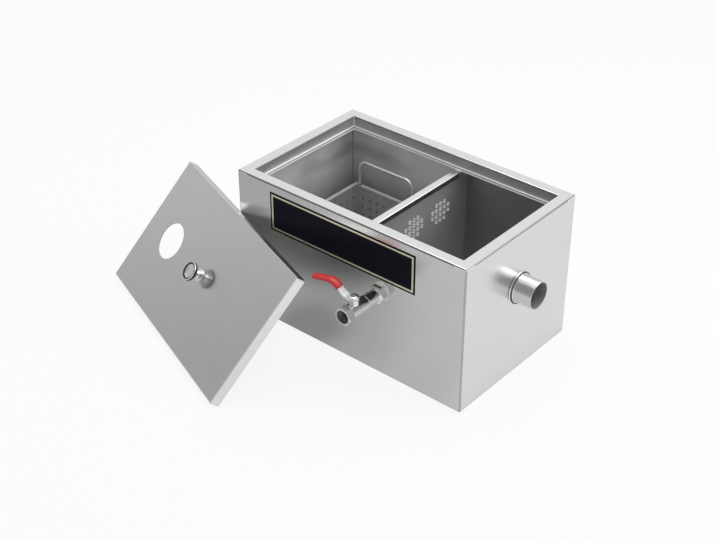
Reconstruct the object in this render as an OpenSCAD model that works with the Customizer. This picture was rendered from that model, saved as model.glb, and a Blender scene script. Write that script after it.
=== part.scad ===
// Under-sink grease trap: a folded stainless tank with a lid, a perforated
// divider, a strainer basket, an outlet pipe and a ball valve for draining.
// Origin: middle of the tank's underside. +X towards the outlet, +Z up.

/* [Tank] */
// Length of the tank from end to end
tank_l = 500; // [440:10:700]
// Width of the tank from front to back
tank_w = 310; // [290:10:400]
// Height of the tank to the top of its rim
tank_h = 285; // [270:5:360]
// Thickness of the stainless sheet
sheet = 1.2; // [0.8:0.1:1.5]
// Outer radius of the tank's bends
edge_r = 3; // [2.2:0.1:5]

/* [Rim] */
// Width of the flat rim flange
rim_flange = 22; // [16:1:28]
// Depth of the ledge below the rim
rim_drop = 21; // [20:0.5:30]
// Width of the ledge that carries the lid
rim_ledge = 8; // [5:1:12]
// Outer radius of the small bends in folded sheet
fold_r = 2.4; // [1.8:0.1:3]

/* [Divider] */
// Distance of the divider from the middle of the tank
divider_x = 22.8; // [0:0.1:40]
// Width of the channel on the divider's top edge
divider_cap_w = 14.5; // [10:0.5:20]
// Depth of the channel on the divider's top edge
divider_cap_h = 10; // [8:0.5:16]
// Diameter of the divider's holes
divider_hole_d = 6.5; // [4:0.5:8]
// Pitch of the divider's holes
divider_pitch = 11.3; // [10:0.1:13]
// Distance between the groups of holes
divider_group = 76; // [68:1:80]
// Height of the groups of holes
divider_hole_z = 199; // [120:1:205]

/* [Basket] */
// Length of the basket along the tank
basket_l = 138; // [120:1:160]
// Width of the basket across the tank
basket_w = 214; // [180:1:220]
// Height of the basket to its rim
basket_h = 159; // [120:1:165]
// Thickness of the basket's perforated sheet
basket_sheet = 1; // [0.8:0.1:1.5]
// Width of the basket's turned-out rim
basket_lip = 6; // [5:0.5:8]
// Diameter of the basket's holes
basket_hole_d = 5.6; // [4:0.2:8]
// Pitch of the basket's holes
basket_pitch = 17.5; // [14:0.5:20]
// Diameter of the handle wire
handle_d = 5; // [4:0.5:5]
// Height of the handle above the basket's rim
handle_h = 54; // [40:1:60]
// Radius of the handle's corners
handle_r = 16; // [10:1:20]

/* [Outlet] */
// Outside diameter of the outlet pipe
outlet_d = 50.8; // [38:0.1:60]
// Wall of the outlet pipe
outlet_wall = 2; // [1.2:0.1:3]
// Height of the outlet's centre
outlet_z = 174; // [150:1:190]
// How far the outlet pipe stands out of the tank
outlet_reach = 39; // [30:1:60]
// How far the outlet pipe stands into the tank
outlet_stub = 12; // [10:1:20]
// Width of the weld ring round the outlet
outlet_weld = 5; // [3:0.5:7]
// Middle radius of the dip elbow inside the tank
dip_r = 40; // [36:1:50]
// Height of the dip pipe's open end above the floor
dip_z = 70; // [40:1:90]

/* [Label] */
// Length of the label plate
label_l = 321.5; // [200:0.5:360]
// Height of the label plate
label_h = 75.5; // [50:0.5:90]
// Thickness of the label plate
label_t = 0.6; // [0.4:0.1:1]
// Distance of the label's middle from the middle of the tank
label_x = -11.5; // [-30:0.5:30]
// Distance of the label's top edge below the rim
label_top = 16; // [10:0.5:20]

/* [Lid] */
// Gap between the lid and the rim all round
lid_gap = 2; // [1:0.1:3]
// Depth of the lid's folded skirt
lid_skirt = 19; // [15:0.5:20]
// Diameter of the inlet hole in the lid
inlet_d = 70; // [50:0.5:80]
// Distance of the inlet hole and basket from the tank's left end
inlet_end = 119; // [115:1:125]
// Angle of the leaning lid to the floor
lean_tilt = 49.8; // [45:0.1:60]
// Angle of the leaning lid to the tank's front
lean_yaw = 20.9; // [18:0.1:25]
// How far the lid's middle lies beside the point it leans on
lean_side = 30.5; // [0:0.5:31]
// Gap between the leaning lid and the tank
lean_gap = 0.3; // [0.2:0.1:0.5]

/* [Knob] */
// Diameter of the knob's cap
knob_d = 35.5; // [28:0.5:40]
// Height of the knob above the lid
knob_h = 25; // [20:0.5:30]
// Diameter of the knob's neck
knob_neck_d = 13; // [12:0.5:16]
// Diameter of the knob's foot
knob_foot_d = 24; // [18:0.5:28]
// Thickness of the knob's cap
knob_cap_t = 8; // [6:0.5:10]
// Thickness of the knob's foot
knob_foot_t = 3; // [2:0.5:4]
// Diameter of the screw that holds the knob
knob_screw_d = 6; // [5:0.5:6]
// Length of the screw inside the knob
knob_screw_l = 14; // [10:0.5:16]

/* [Drain valve] */
// Distance of the valve from the middle of the tank
valve_x = 79; // [79:1:100]
// Distance of the valve's centre below the rim
valve_drop = 114; // [112:1:180]
// Diameter of the valve's threaded shank
shank_d = 26.4; // [26:0.1:27]
// Distance across the flats of the valve's shoulder
shoulder_af = 30; // [29:0.5:34]
// Distance from the tank to the valve's stem
stem_reach = 70; // [64:1:71]
// Wall of the valve's barrel round the ball
barrel_wall = 3.25; // [3:0.25:4]
// Length of the barrel before the ball's seat
barrel_lead = 14; // [10:1:16]
// Length of the hexagonal shoulder at the tank
shoulder_l = 14; // [10:1:16]
// Diameter of the neck between shoulder and barrel
neck_d = 24.5; // [22:0.5:26]
// Diameter of the ball
ball_d = 20; // [19:0.2:21]
// Diameter of the way through the valve
flow_d = 13; // [10:0.5:13]
// Diameter of the drain thread at the open end
thread_d = 24.1; // [20:0.1:25]
// Depth of the drain thread
thread_depth = 12; // [10:0.5:12]
// Distance across the flats of the end cap
cap_af = 29; // [28.5:0.5:34]
// Length of the end cap's hexagon
cap_l = 14; // [14:0.5:20]
// Thickness of the sealing washers
washer_t = 2.5; // [1.5:0.5:3]
// Diameter of the sealing washers
washer_d = 36; // [35:0.5:44]
// Distance across the flats of the locknut
locknut_af = 36; // [34:0.5:40]
// Thickness of the locknut
locknut_t = 8; // [6:0.5:10]

/* [Lever] */
// Diameter of the valve's stem
stem_d = 7.6; // [7:0.1:8]
// Distance across the flats of the stem's end
stem_af = 6; // [5:0.1:6]
// Thickness of the lever strip
lever_t = 2.5; // [2:0.1:3]
// Width of the lever at its hub
hub_w = 17; // [15:0.5:20]
// Width of the lever strip where it starts to rise
strip_neck_w = 14; // [12:0.5:16]
// Width of the lever strip inside the sleeve
strip_w = 10; // [8:0.5:11]
// Length of the lever from the stem to its tip
lever_l = 89; // [80:1:89]
// Distance from the stem to where the lever starts to rise
bend_start = 19.5; // [16:0.5:21]
// Distance from the stem to the lever's highest point
bend_top = 42; // [38:0.5:45]
// How far the lever's bend rises above the hub
lever_rise = 21; // [16:0.5:22]
// How far the tip lies below the bend
lever_fall = 11; // [6:0.5:12]
// Width of the grip sleeve
sleeve_w = 15; // [12.5:0.5:17]
// Thickness of the grip sleeve
sleeve_t = 8.6; // [6.5:0.1:9]
// Distance across the flats of the lever nut
nut_af = 13; // [12:0.5:14]
// Thickness of the lever nut
nut_t = 6.5; // [5:0.5:8]

/* [Fits] */
// Radial clearance of the stem where it turns
turn_fit = 0.05; // [0.02:0.01:0.1]
// Clearance between pieces that are pushed together
push_fit = 0.1; // [0.05:0.05:0.2]
// Clearance between moving and fixed pieces
free_gap = 0.3; // [0.3:0.05:0.4]

/* [Hidden] */
$fn = 64;

// Cutters reach this far past the faces that they cut
past = 1;

// Tank and rim
opening_l = tank_l - 2 * rim_flange;
opening_w = tank_w - 2 * rim_flange;
wall_h = tank_h - edge_r;
ledge_z = tank_h - rim_drop;
ledge_under = ledge_z - sheet;
inside_w = tank_w - 2 * sheet;
inlet_x = tank_l / 2 - inlet_end;

// Basket
basket_z = sheet;
basket_top = basket_z + basket_h;
handle_span = basket_l - 2 * (handle_d + basket_sheet);
hole_margin = basket_pitch / 2;

// Lid, at rest against the tank's front left corner
lid_l = opening_l - 2 * lid_gap;
lid_w = opening_w - 2 * lid_gap;
lean_u = [cos(lean_yaw), -sin(lean_yaw)];
lean_n = [sin(lean_yaw), cos(lean_yaw)];
corner_c = [edge_r - tank_l / 2, edge_r - tank_w / 2];
corner_reach = corner_c * lean_n - edge_r - lean_gap;
top_edge_n = lid_w / 2 * cos(lean_tilt) + lid_skirt * sin(lean_tilt);
lean_xy = (corner_c * lean_u + lean_side) * lean_u + (corner_reach - top_edge_n) * lean_n;
lean_z = lid_w / 2 * sin(lean_tilt) + lid_skirt * cos(lean_tilt);

// Outlet
outlet_inner = tank_l / 2 - sheet - outlet_stub;
outlet_end = tank_l / 2 + outlet_reach;

// Valve, measured out from the tank's front face
valve_z = tank_h - valve_drop;
shank_past = 4;
shank_in = -sheet - washer_t - locknut_t - shank_past;
cavity_d = ball_d + 1;
barrel_d = cavity_d + 2 * barrel_wall;
seat_w = 5;
seat_far = cavity_d / 2;
cavity_start = stem_reach - seat_far;
barrel_start = cavity_start - barrel_lead;
plug_l = 5;
plug_start = stem_reach + seat_far;
cap_start = plug_start + plug_l;
valve_end = cap_start + cap_l;

// Stem, measured up from the valve's centre
packing_t = 2.6;
packing_d = stem_d + 4.4;
packing_z = cavity_d / 2 + 2;
packing_top = packing_z + packing_t;
boss_wall = 2.3;
boss_d = packing_d + 2 * boss_wall;
boss_top = packing_top + 0.8;
gland_af = 15;
gland_t = 2.6;
hub_z = boss_top + gland_t + 2 * free_gap;
tang_w = 3;
tang_l = 7;
tang_depth = 2.4;
tang_z = ball_d / 2 - tang_depth;
shaft_z = ball_d / 2 + free_gap;
stem_top = hub_z + lever_t + nut_t + past;

// Lever seen from the side: x runs along the lever from the stem, y is the height
sleeve_start = 0.5;
hub_mid = hub_z + lever_t / 2;
lever_heel = [-hub_w / 2 - past, hub_mid];
lever_foot = [bend_start, hub_mid];
lever_crest = [bend_top, hub_mid + lever_rise];
lever_tip = [lever_l - sleeve_t / 2, hub_mid + lever_rise - lever_fall];
strip_end = lever_l - sleeve_t;

// Shapes that are used more than once

// Rectangle with four round corners
module rounded_rect(l, w, r) {
    square([l - 2 * r, w], center = true);
    square([l, w - 2 * r], center = true);
    for (x = [-1, 1], y = [-1, 1])
        translate([x * (l / 2 - r), y * (w / 2 - r)])
            circle(r);
}

// Upright rectangle with two round corners at its foot
module round_foot(w, h, r) {
    translate([-w / 2, r])
        square([w, h - r]);
    translate([r - w / 2, 0])
        square([w - 2 * r, 2 * r]);
    for (x = [-1, 1])
        translate([x * (w / 2 - r), r])
            circle(r);
}

// Block with round upright edges and round lower edges
module tray_block(l, w, h, r) {
    intersection() {
        linear_extrude(h)
            rounded_rect(l, w, r);
        rotate([90, 0, 90])
            translate([0, 0, -l / 2])
                linear_extrude(l)
                    round_foot(w, h, r);
        rotate([90, 0, 0])
            translate([0, 0, -w / 2])
                linear_extrude(w)
                    round_foot(l, h, r);
    }
}

// Open tray of folded sheet
module folded_tray(l, w, h, r) {
    difference() {
        tray_block(l, w, h, r);
        translate([0, 0, sheet])
            tray_block(l - 2 * sheet, w - 2 * sheet, h, r - sheet);
    }
}

// Flat bottom of a folded tray, between its bends
module tray_floor(l, w, r) {
    translate([r - l / 2, r - w / 2, 0])
        cube([l - 2 * r, w - 2 * r, sheet]);
}

// Front side of a folded tray with its lower bend, mitred at both ends
module tray_side(l, w, h, r) {
    intersection() {
        folded_tray(l, w, h, r);
        linear_extrude(h)
            polygon([
                [-l / 2, -w / 2], [l / 2, -w / 2],
                [l / 2 - r, r - w / 2], [r - l / 2, r - w / 2]
            ]);
    }
}

// Quarter of a bend, in the quadrant of +X and +Y
module bend(r) {
    intersection() {
        difference() {
            circle(r);
            circle(r - sheet);
        }
        square(r);
    }
}

// Hexagonal bar along Z with chamfered ends
module hex_bar(af, h, chamfer) {
    corner_r = af / 2 / cos(30);
    intersection() {
        cylinder(r = corner_r, h = h, $fn = 6);
        rotate_extrude()
            polygon([
                [0, 0], [corner_r - chamfer, 0], [corner_r, chamfer / 2],
                [corner_r, h - chamfer / 2], [corner_r - chamfer, h], [0, h]
            ]);
    }
}

// Ring along Z
module ring(d_out, d_in, h) {
    linear_extrude(h)
        difference() {
            circle(d = d_out);
            circle(d = d_in);
        }
}

// Sheet with a square pattern of holes centred across it, the first row a margin below its top
module perforated(w, h, first_row) {
    across = floor((w - 2 * hole_margin) / basket_pitch);
    rows = floor((h - first_row - basket_hole_d) / basket_pitch);
    difference() {
        translate([-w / 2, -h])
            square([w, h]);
        for (i = [0 : across], j = [0 : rows])
            translate([(i - across / 2) * basket_pitch, -first_row - j * basket_pitch])
                circle(d = basket_hole_d);
    }
}

// Tank: one folded sheet, drawn as five panels that meet at its bends

module tank_floor() {
    color("silver")
        tray_floor(tank_l, tank_w, edge_r);
}

module tank_front() {
    color("silver")
        difference() {
            tray_side(tank_l, tank_w, wall_h, edge_r);
            translate([valve_x, past - tank_w / 2 + sheet, valve_z])
                rotate([90, 0, 0])
                    cylinder(d = shank_d + 2 * free_gap, h = sheet + 2 * past);
        }
}

module tank_rear() {
    color("silver")
        rotate(180)
            tray_side(tank_l, tank_w, wall_h, edge_r);
}

module tank_left() {
    color("silver")
        rotate(-90)
            tray_side(tank_w, tank_l, wall_h, edge_r);
}

module tank_right() {
    color("silver")
        difference() {
            rotate(90)
                tray_side(tank_w, tank_l, wall_h, edge_r);
            translate([tank_l / 2 - sheet - past, 0, outlet_z])
                rotate([0, 90, 0])
                    cylinder(d = outlet_d + 2 * push_fit, h = sheet + 2 * past);
        }
}

// Section of the rim: x is the distance in from the tank's outer face
module rim_section() {
    drop_x = rim_flange - sheet;
    translate([edge_r, tank_h - edge_r])
        mirror([1, 0])
            bend(edge_r);
    translate([edge_r, tank_h - sheet])
        square([rim_flange - fold_r - edge_r, sheet]);
    translate([rim_flange - fold_r, tank_h - fold_r])
        bend(fold_r);
    translate([drop_x, ledge_under + fold_r])
        square([sheet, rim_drop + sheet - 2 * fold_r]);
    translate([drop_x + fold_r, ledge_under + fold_r])
        rotate(180)
            bend(fold_r);
    translate([drop_x + fold_r, ledge_under])
        square([rim_flange + rim_ledge - drop_x - fold_r, sheet]);
}

// Folded rim strip along one side of the tank, mitred at both ends
module rim_strip(length, depth) {
    half = length / 2;
    mitre = rim_flange + rim_ledge + past;
    intersection() {
        translate([0, -depth / 2, 0])
            rotate([90, 0, 90])
                translate([0, 0, -half])
                    linear_extrude(length)
                        rim_section();
        linear_extrude(tank_h + past)
            polygon([
                [-half, -depth / 2], [half, -depth / 2],
                [half - mitre, mitre - depth / 2], [mitre - half, mitre - depth / 2]
            ]);
        linear_extrude(tank_h + past)
            rounded_rect(length, depth, edge_r);
    }
}

module rim_front() {
    color("gainsboro")
        rim_strip(tank_l, tank_w);
}

module rim_rear() {
    color("gainsboro")
        rotate(180)
            rim_strip(tank_l, tank_w);
}

module rim_left() {
    color("gainsboro")
        rotate(-90)
            rim_strip(tank_w, tank_l);
}

module rim_right() {
    color("gainsboro")
        rotate(90)
            rim_strip(tank_w, tank_l);
}

// Divider

// Plate welded between front and rear, its lower corners rounded to sit in the tank's bends
module divider() {
    holes = [-1.5 : 1.5];
    columns = [-2 : 2];
    back_x = divider_x - sheet / 2;
    top = ledge_under - sheet;
    color("silver")
        difference() {
            intersection() {
                translate([back_x, -inside_w / 2, sheet])
                    cube([sheet, inside_w, top - sheet]);
                translate([0, 0, sheet])
                    tray_block(tank_l - 2 * sheet, inside_w, tank_h, edge_r);
            }
            for (group = [-1 : 1], column = columns, row = holes)
                if (abs(column) < 2 || abs(row) < 1)
                    translate([
                        back_x - past,
                        group * divider_group + column * divider_pitch,
                        divider_hole_z + row * divider_pitch
                    ])
                        rotate([0, 90, 0])
                            cylinder(d = divider_hole_d, h = sheet + 2 * past);
        }
}

// Folded channel that stiffens the divider's top edge, welded to the tank at both ends
module divider_cap() {
    half = divider_cap_w / 2;
    color("gainsboro")
        translate([divider_x, inside_w / 2, ledge_under])
            rotate([90, 0, 0])
                linear_extrude(inside_w) {
                    translate([fold_r - half, -sheet])
                        square([divider_cap_w - 2 * fold_r, sheet]);
                    for (side = [0, 1])
                        mirror([side, 0]) {
                            translate([half - fold_r, -fold_r])
                                bend(fold_r);
                            translate([half - sheet, -divider_cap_h])
                                square([sheet, divider_cap_h - fold_r]);
                        }
                }
}

// Basket

// Upright wall of the basket with its turned-out rim; z is the outward side
module basket_wall(w, lip_w) {
    linear_extrude(basket_sheet)
        perforated(w, basket_h, basket_hole_d + 2);
    translate([-lip_w / 2, -basket_sheet, basket_sheet])
        cube([lip_w, basket_sheet, basket_lip]);
}

module basket_floor() {
    color("darkgray")
        translate([-inlet_x, (basket_w - 2 * basket_sheet) / 2, basket_z])
            linear_extrude(basket_sheet)
                perforated(basket_l - 2 * basket_sheet, basket_w - 2 * basket_sheet, hole_margin);
}

module basket_front() {
    color("darkgray")
        translate([-inlet_x, basket_sheet - basket_w / 2, basket_top])
            rotate([90, 0, 0])
                basket_wall(basket_l - 2 * basket_sheet, basket_l);
}

module basket_rear() {
    color("darkgray")
        translate([-inlet_x, basket_w / 2 - basket_sheet, basket_top])
            rotate([90, 0, 180])
                basket_wall(basket_l - 2 * basket_sheet, basket_l);
}

module basket_left() {
    color("darkgray")
        translate([basket_sheet - inlet_x - basket_l / 2, 0, basket_top])
            rotate([90, 0, -90])
                basket_wall(basket_w, basket_w + 2 * basket_lip);
}

module basket_right() {
    color("darkgray")
        translate([basket_l / 2 - basket_sheet - inlet_x, 0, basket_top])
            rotate([90, 0, 90])
                basket_wall(basket_w, basket_w + 2 * basket_lip);
}

// Bent wire handle that stands on the basket's rim
module handle() {
    bar_z = handle_h - handle_d / 2;
    leg_h = bar_z - handle_r;
    for (side = [0, 1])
        mirror([side, 0, 0]) {
            translate([handle_span / 2, 0, 0])
                cylinder(d = handle_d, h = leg_h);
            translate([handle_span / 2 - handle_r, 0, leg_h])
                rotate([90, 0, 0])
                    rotate_extrude(angle = 90)
                        translate([handle_r, 0])
                            circle(d = handle_d);
        }
    translate([handle_r - handle_span / 2, 0, bar_z])
        rotate([0, 90, 0])
            cylinder(d = handle_d, h = handle_span - 2 * handle_r);
}

module basket_front_handle() {
    color("whitesmoke")
        translate([-inlet_x, -(basket_w + basket_lip) / 2, basket_top])
            handle();
}

module basket_rear_handle() {
    color("whitesmoke")
        translate([-inlet_x, (basket_w + basket_lip) / 2, basket_top])
            handle();
}

// Outlet

module outlet_pipe() {
    out_r = outlet_d / 2;
    in_r = out_r - outlet_wall;
    wall_z = tank_l / 2 - outlet_inner;
    lip = outlet_wall / 4;
    length = outlet_end - outlet_inner;
    color("whitesmoke")
        translate([outlet_inner, 0, outlet_z])
            rotate([0, 90, 0])
                rotate_extrude()
                    polygon([
                        [in_r, 0], [out_r, 0], [out_r, wall_z], [out_r + outlet_weld, wall_z],
                        [out_r + outlet_weld, wall_z + lip], [out_r + lip, wall_z + outlet_weld],
                        [out_r, wall_z + outlet_weld],
                        [out_r, length - lip], [out_r - lip, length], [in_r + lip, length],
                        [in_r, length - lip]
                    ]);
}

module outlet_elbow() {
    leg_h = outlet_z - dip_r - dip_z;
    color("silver")
        translate([outlet_inner, 0, outlet_z - dip_r]) {
            rotate([90, 0, 0])
                rotate(90)
                    rotate_extrude(angle = 90)
                        translate([dip_r, 0])
                            difference() {
                                circle(d = outlet_d);
                                circle(d = outlet_d - 2 * outlet_wall);
                            }
            translate([-dip_r, 0, -leg_h])
                ring(outlet_d, outlet_d - 2 * outlet_wall, leg_h);
        }
}

// Label

module label_plate() {
    color("midnightblue")
        translate([label_x - label_l / 2, -tank_w / 2 - label_t, tank_h - label_top - label_h])
            cube([label_l, label_t, label_h]);
}

// Lid, drawn with its face at z = 0 and its skirt below, then leaned on the tank

module leaning() {
    translate([lean_xy.x, lean_xy.y, lean_z])
        rotate([0, 0, -lean_yaw])
            rotate([lean_tilt, 0, 0])
                children();
}

// Side of the lid, seen from above as it lies on the tank
module lid_side(turn, l, w) {
    color("darkgray")
        leaning()
            rotate([180, 0, turn])
                tray_side(l, w, lid_skirt, fold_r);
}

module lid_top() {
    color("darkgray")
        leaning()
            difference() {
                translate([0, 0, -sheet])
                    tray_floor(lid_l, lid_w, fold_r);
                translate([-inlet_x, 0, -sheet - past])
                    cylinder(d = inlet_d, h = sheet + 2 * past);
                translate([0, 0, -sheet - past])
                    cylinder(d = knob_screw_d + 2 * push_fit, h = sheet + 2 * past);
            }
}

module lid_front() {
    lid_side(180, lid_l, lid_w);
}

module lid_rear() {
    lid_side(0, lid_l, lid_w);
}

module lid_left() {
    lid_side(90, lid_w, lid_l);
}

module lid_right() {
    lid_side(-90, lid_w, lid_l);
}

module lid_knob() {
    neck_r = knob_neck_d / 2;
    foot_r = knob_foot_d / 2;
    cap_r = knob_d / 2;
    soft = 2;
    cap_under = knob_h - knob_cap_t;
    color("whitesmoke")
        leaning()
            difference() {
                rotate_extrude()
                    polygon([
                        [0, 0], [foot_r, 0], [foot_r, knob_foot_t / 2], [foot_r - soft / 2, knob_foot_t],
                        [neck_r + soft / 2, knob_foot_t + soft], [neck_r, knob_foot_t + 2 * soft],
                        [neck_r, cap_under - soft], [neck_r + soft, cap_under],
                        [cap_r - soft, cap_under], [cap_r, cap_under + soft],
                        [cap_r, knob_h - 2 * soft], [cap_r - soft / 2, knob_h - soft],
                        [cap_r - 2 * soft, knob_h], [0, knob_h]
                    ]);
                translate([0, 0, -past])
                    cylinder(d = knob_screw_d + 2 * push_fit, h = knob_screw_l + 2 * past);
            }
}

module knob_screw() {
    head_d = 2 * knob_screw_d;
    head_t = knob_screw_d / 2;
    color("silver")
        leaning() {
            translate([0, 0, -sheet])
                cylinder(d = knob_screw_d, h = knob_screw_l + sheet);
            translate([0, 0, -sheet - head_t])
                cylinder(d1 = head_d - head_t, d2 = head_d, h = head_t);
        }
}

// Drain valve

// Places a shape so that its +Z runs straight out of the tank's front
module out_of_tank() {
    translate([valve_x, -tank_w / 2, valve_z])
        rotate([90, 0, 0])
            children();
}

// Places a shape on the valve's stem axis, +Z up
module on_stem() {
    translate([valve_x, -tank_w / 2 - stem_reach, valve_z])
        children();
}

module drain_outer_washer() {
    color("white")
        out_of_tank()
            ring(washer_d, shank_d + 2 * push_fit, washer_t);
}

module drain_inner_washer() {
    color("white")
        out_of_tank()
            translate([0, 0, -sheet - washer_t])
                ring(washer_d, shank_d + 2 * push_fit, washer_t);
}

module drain_locknut() {
    color("silver")
        out_of_tank()
            translate([0, 0, -sheet - washer_t - locknut_t])
                difference() {
                    hex_bar(locknut_af, locknut_t, 2);
                    translate([0, 0, -past])
                        cylinder(d = shank_d + 2 * push_fit, h = locknut_t + 2 * past);
                }
}

module valve_body() {
    shank_r = shank_d / 2;
    neck_r = neck_d / 2;
    barrel_r = barrel_d / 2;
    neck_start = washer_t + shoulder_l;
    step = barrel_r - neck_r;
    color("whitesmoke")
        difference() {
            union() {
                out_of_tank() {
                    translate([0, 0, washer_t])
                        hex_bar(shoulder_af, shoulder_l, 2);
                    rotate_extrude()
                        polygon([
                            [0, shank_in], [shank_r - 1, shank_in], [shank_r, shank_in + 1],
                            [shank_r, washer_t + 1], [neck_r, neck_start - 1],
                            [neck_r, barrel_start - 2 * step],
                            [barrel_r, barrel_start], [barrel_r, cap_start - 1],
                            [barrel_r - 1, cap_start], [0, cap_start]
                        ]);
                }
                on_stem()
                    cylinder(d = boss_d, h = boss_top);
            }
            out_of_tank() {
                translate([0, 0, shank_in - past])
                    cylinder(d = flow_d, h = cavity_start - shank_in + 2 * past);
                translate([0, 0, cavity_start])
                    cylinder(d = cavity_d, h = cap_start - cavity_start + past);
            }
            on_stem() {
                cylinder(d = stem_d + 2 * turn_fit, h = boss_top + past);
                translate([0, 0, packing_z])
                    cylinder(d = packing_d, h = boss_top - packing_z + past);
            }
        }
}

module valve_end_cap() {
    plug_r = cavity_d / 2 - push_fit;
    color("whitesmoke")
        out_of_tank()
            difference() {
                union() {
                    translate([0, 0, plug_start])
                        cylinder(r = plug_r, h = cap_start - plug_start + past);
                    translate([0, 0, cap_start])
                        hex_bar(cap_af, cap_l, 2);
                }
                translate([0, 0, plug_start - past])
                    cylinder(d = flow_d, h = valve_end - plug_start);
                translate([0, 0, valve_end - thread_depth])
                    cylinder(d = thread_d, h = thread_depth + past);
            }
}

// Two soft rings that carry the ball
module valve_seats() {
    seat_r = cavity_d / 2 - push_fit;
    color("white")
        difference() {
            out_of_tank()
                for (side = [0, 1])
                    translate([0, 0, stem_reach])
                        mirror([0, 0, side])
                            translate([0, 0, seat_far - seat_w])
                                ring(2 * seat_r, flow_d + 2, seat_w);
            on_stem()
                sphere(d = ball_d + 2 * free_gap);
        }
}

module stem_packing() {
    color("white")
        on_stem()
            translate([0, 0, packing_z])
                ring(packing_d - 2 * push_fit, stem_d + 2 * turn_fit, packing_top - packing_z);
}

module gland_nut() {
    color("gainsboro")
        on_stem()
            difference() {
                union() {
                    translate([0, 0, boss_top])
                        hex_bar(gland_af, gland_t, 1);
                    translate([0, 0, packing_top])
                        cylinder(d = packing_d - 2 * push_fit, h = boss_top - packing_top + past);
                }
                translate([0, 0, packing_top - past])
                    cylinder(d = stem_d + 2 * free_gap, h = gland_t + 2 * past + boss_top - packing_top);
            }
}

// Ball, shut: its way through lies across the valve
module valve_ball() {
    color("gainsboro")
        on_stem()
            difference() {
                sphere(d = ball_d);
                rotate([0, 90, 0])
                    cylinder(d = flow_d, h = ball_d, center = true);
                translate([-tang_w / 2 - push_fit, -ball_d / 2, tang_z - push_fit])
                    cube([tang_w + 2 * push_fit, ball_d, ball_d]);
            }
}

// Round bar along Z with two flats
module two_flats(d, af, h) {
    linear_extrude(h)
        intersection() {
            circle(d = d);
            square([d, af], center = true);
        }
}

module valve_stem() {
    color("silver")
        on_stem() {
            translate([-tang_w / 2, -tang_l / 2, tang_z])
                cube([tang_w, tang_l, shaft_z + past - tang_z]);
            translate([0, 0, shaft_z])
                cylinder(d = stem_d, h = hub_z - shaft_z);
            translate([0, 0, hub_z])
                two_flats(stem_d, stem_af, stem_top - hub_z);
        }
}

// Lever

function along(a, b, t) = a + (b - a) * t;
function unit(v) = v / norm(v);
function turned(v) = [-v.y, v.x];

// Points of a smooth turn at q on the way from p to r
function turn(p, q, r, reach, steps) = [
    for (i = [0 : steps])
        let (
            t = i / steps,
            a = q + unit(p - q) * reach,
            b = q + unit(r - q) * reach
        )
        along(along(a, q, t), along(q, b, t), t)
];

// Direction of a path at its point i
function heading(path, i) =
    unit(path[min(i + 1, len(path) - 1)] - path[max(i - 1, 0)]);

// Path moved sideways by d
function beside(path, d) = [
    for (i = [0 : len(path) - 1]) path[i] + d * turned(heading(path, i))
];

function backwards(list) = [for (i = [len(list) - 1 : -1 : 0]) list[i]];

crest_turn = turn(lever_foot, lever_crest, lever_tip, 11, 6);
lever_path = concat(
    [lever_heel],
    turn(lever_heel, lever_foot, lever_crest, 6, 5),
    crest_turn,
    [lever_tip]
);

// Bent strip of the lever, with its stem at the origin and its grip towards -X
module lever_strip(gap) {
    outline = concat(
        beside(lever_path, lever_t / 2 + gap),
        backwards(beside(lever_path, -lever_t / 2 - gap))
    );
    intersection() {
        rotate([90, 0, 180])
            linear_extrude(hub_w + 2 * past, center = true)
                polygon(outline);
        rotate(180)
            linear_extrude(hub_z + lever_rise + sleeve_t)
                union() {
                    circle(d = hub_w + 2 * gap);
                    polygon([
                        [0, -hub_w / 2 - gap], [bend_start, -strip_neck_w / 2 - gap],
                        [bend_top, -strip_w / 2 - gap], [strip_end + gap, -strip_w / 2 - gap],
                        [strip_end + gap, strip_w / 2 + gap], [bend_top, strip_w / 2 + gap],
                        [bend_start, strip_neck_w / 2 + gap], [0, hub_w / 2 + gap]
                    ]);
                }
    }
}

module lever() {
    color("gainsboro")
        on_stem()
            difference() {
                lever_strip(0);
                translate([0, 0, hub_z - past])
                    two_flats(stem_d + 2 * push_fit, stem_af + 2 * push_fit, lever_t + 2 * past);
            }
}

// Soft grip dipped over the lever: oval rings swept along the lever's path
module lever_sleeve() {
    sides = 24;
    tip_rings = 5;
    mouth = along(lever_foot, lever_crest, sleeve_start);
    spine = concat([mouth], crest_turn, [along(crest_turn[len(crest_turn) - 1], lever_tip, 0.5), lever_tip]);
    tip_dir = heading(spine, len(spine) - 1);
    stations = concat(
        [for (i = [0 : len(spine) - 1]) [spine[i], heading(spine, i), 1]],
        [for (k = [1 : tip_rings])
            let (a = 85 * k / tip_rings)
            [lever_tip + tip_dir * sin(a) * sleeve_t / 2, tip_dir, cos(a)]]
    );
    rings = len(stations);
    points = [
        for (s = stations, j = [0 : sides - 1])
            let (
                a = 360 * j / sides,
                across = cos(a) * (sleeve_w / 2 - sleeve_t / 2 * (1 - s[2])),
                up = sin(a) * sleeve_t / 2 * s[2],
                p = s[0] + turned(s[1]) * up
            )
            [-p.x, across, p.y]
    ];
    faces = concat(
        [[for (j = [0 : sides - 1]) j]],
        [for (i = [0 : rings - 2], j = [0 : sides - 1])
            let (k = (j + 1) % sides)
            [i * sides + j, (i + 1) * sides + j, (i + 1) * sides + k, i * sides + k]],
        [[for (j = [sides - 1 : -1 : 0]) (rings - 1) * sides + j]]
    );
    color("crimson")
        on_stem()
            difference() {
                polyhedron(points, faces);
                lever_strip(push_fit);
            }
}

module lever_nut() {
    color("silver")
        on_stem()
            translate([0, 0, hub_z + lever_t])
                difference() {
                    hex_bar(nut_af, nut_t, 1.5);
                    translate([0, 0, -past])
                        cylinder(d = stem_d + 2 * push_fit, h = nut_t + 2 * past);
                }
}

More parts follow.
